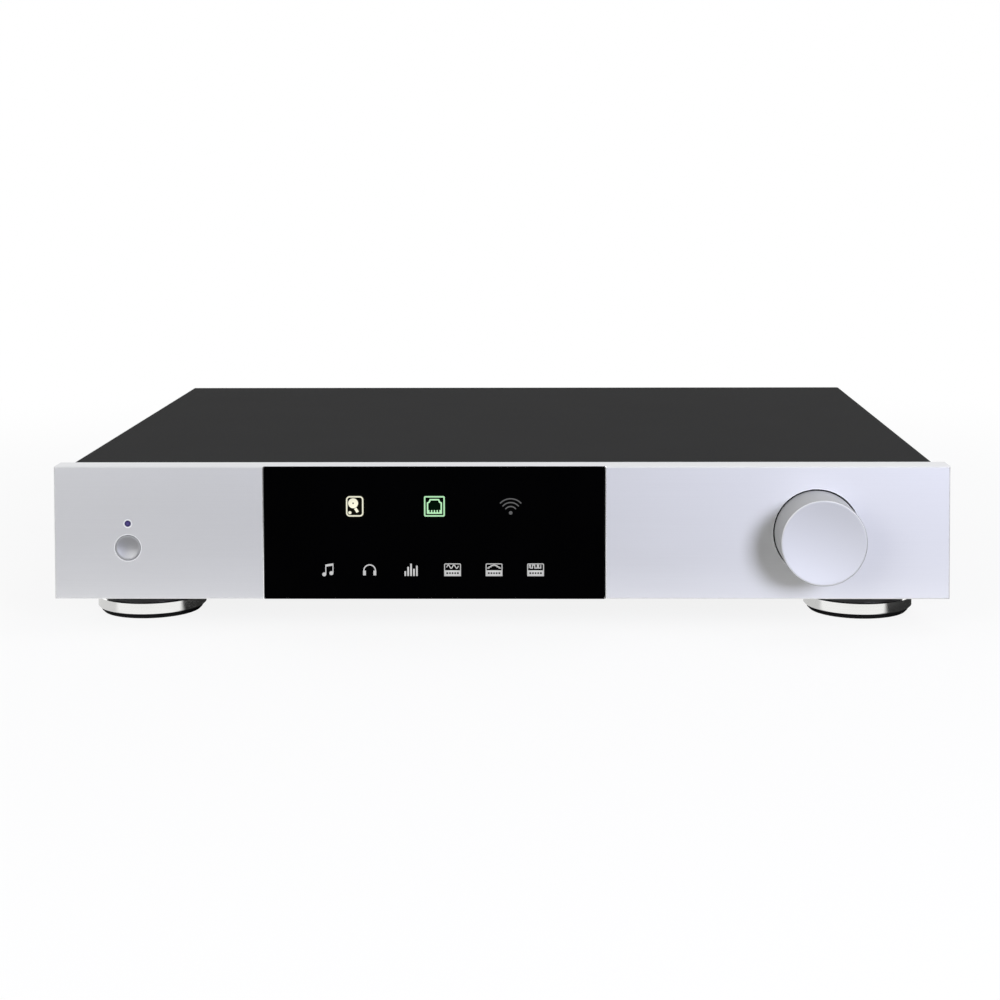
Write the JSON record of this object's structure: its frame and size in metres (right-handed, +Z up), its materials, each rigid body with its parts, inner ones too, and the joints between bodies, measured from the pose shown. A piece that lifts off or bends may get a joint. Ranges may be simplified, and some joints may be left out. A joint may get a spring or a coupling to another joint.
{
  "type": "network music streamer",
  "caption": "Low full-width hi-fi streamer: thick silver front with black symbol window, turned volume knob and standby button, dark folded cover, ringed feet and rear sockets.",
  "frame": {"origin": "on the floor under the feet, at the centre of the whole outline", "axes": "+X to the right as the listener faces it, +Y from the front to the rear, +Z up"},
  "size_m": [0.43, 0.3712, 0.08],
  "materials": {
    "panel_aluminium": "fine blasted, clear anodised",
    "knob_aluminium": "turned and clear anodised",
    "button_aluminium": "turned and clear anodised",
    "window_black": "polished black acrylic",
    "light_box_white": "moulded white",
    "board_green": "solder mask over glass fibre",
    "switch_grey": "moulded grey",
    "standby_lens": "clear violet-blue light pipe",
    "set_screw_steel": "blackened steel",
    "shaft_steel": "ground steel",
    "encoder_metal": "nickel plated",
    "nut_brass": "plain brass",
    "tray_steel": "black powder coat",
    "cover_black": "fine satin black powder coat",
    "rear_black": "fine satin black powder coat",
    "screw_black": "black oxide steel",
    "screw_steel": "zinc plated steel",
    "foot_black": "moulded black",
    "foot_polished": "polished bright ring",
    "foot_rubber": "moulded rubber",
    "winding_tape": "iron core and copper under film tape",
    "capacitor_sleeve": "shrink sleeve",
    "heatsink_aluminium": "plain aluminium",
    "ribbon_white": "flat ribbon",
    "lead_brown": "insulated lead",
    "connector_black": "moulded black",
    "contact_metal": "nickel plated",
    "jack_shield": "tinned steel shield",
    "jack_white": "moulded white insulator",
    "jack_gold": "gold plated brass",
    "washer_red": "moulded insulating washer"
  },
  "bodies": {
    "case": {"front_panel": "panel_aluminium", "display_window": "window_black", "icon_light_box": "light_box_white", "display_board": "board_green", "control_board": "board_green", "power_board": "board_green", "main_board": "board_green", "output_board": "board_green", "power_led_lens": "standby_lens", "encoder_body": "encoder_metal", "encoder_nut": "nut_brass", "board_standoffs": "nut_brass", "base_tray": "tray_steel", "drive_bracket": "tray_steel", "top_cover": "cover_black", "rear_panel": "rear_black", "cover_screws": "screw_black", "chassis_screws": "screw_steel", "foot_screws": "screw_steel", "board_screws": "screw_steel", "transformer_bolt": "screw_steel", "transformer_plate": "screw_steel", "jack_nuts": "screw_steel", "foot_body_front_left": "foot_black", "foot_body_front_right": "foot_black", "foot_body_rear_left": "foot_black", "foot_body_rear_right": "foot_black", "foot_ring_front_left": "foot_polished", "foot_ring_front_right": "foot_polished", "foot_ring_rear_left": "foot_polished", "foot_ring_rear_right": "foot_polished", "foot_pad_front_left": "foot_rubber", "foot_pad_front_right": "foot_rubber", "foot_pad_rear_left": "foot_rubber", "foot_pad_rear_right": "foot_rubber", "transformer_pad": "foot_rubber", "transformer_winding": "winding_tape", "smoothing_capacitors": "capacitor_sleeve", "regulator_heatsink": "heatsink_aluminium", "storage_drive": "heatsink_aluminium", "display_cable": "ribbon_white", "mains_leads": "lead_brown", "mains_inlet": "connector_black", "rocker_frame": "connector_black", "inlet_pins": "contact_metal", "lan_jack": "jack_shield", "usb_jack": "jack_shield", "usb_tongues": "jack_white", "phono_cores": "jack_white", "phono_barrels": "jack_gold", "antenna_jack": "jack_gold", "phono_washers": "washer_red"},
    "knob": {"volume_knob": "knob_aluminium", "knob_set_screw": "set_screw_steel", "encoder_shaft": "shaft_steel"},
    "standby_button": {"power_button": "button_aluminium", "switch_plunger": "switch_grey"},
    "rocker": {"mains_rocker": "connector_black"},
    "drawer": {"fuse_drawer": "connector_black", "mains_fuse": "contact_metal"}
  },
  "joints": [
    {"name": "volume_turn", "type": "hinge", "parent": "case", "child": "knob", "pos_m": [0.1514, -0.17155, 0.048], "axis": [0, 1, 0], "continuous": true},
    {"name": "standby_press", "type": "slide", "parent": "case", "child": "standby_button", "axis": [0, 1, 0], "range_m": [0, 0.0012], "stiffness_N_per_m": 900},
    {"name": "rocker_tilt", "type": "hinge", "parent": "case", "child": "rocker", "pos_m": [-0.1185, 0.17155, 0.04775], "axis": [1, 0, 0], "range_deg": [0, 24]},
    {"name": "fuse_pull", "type": "slide", "parent": "case", "child": "drawer", "axis": [0, 1, 0], "range_m": [0, 0.017]}
  ]
}
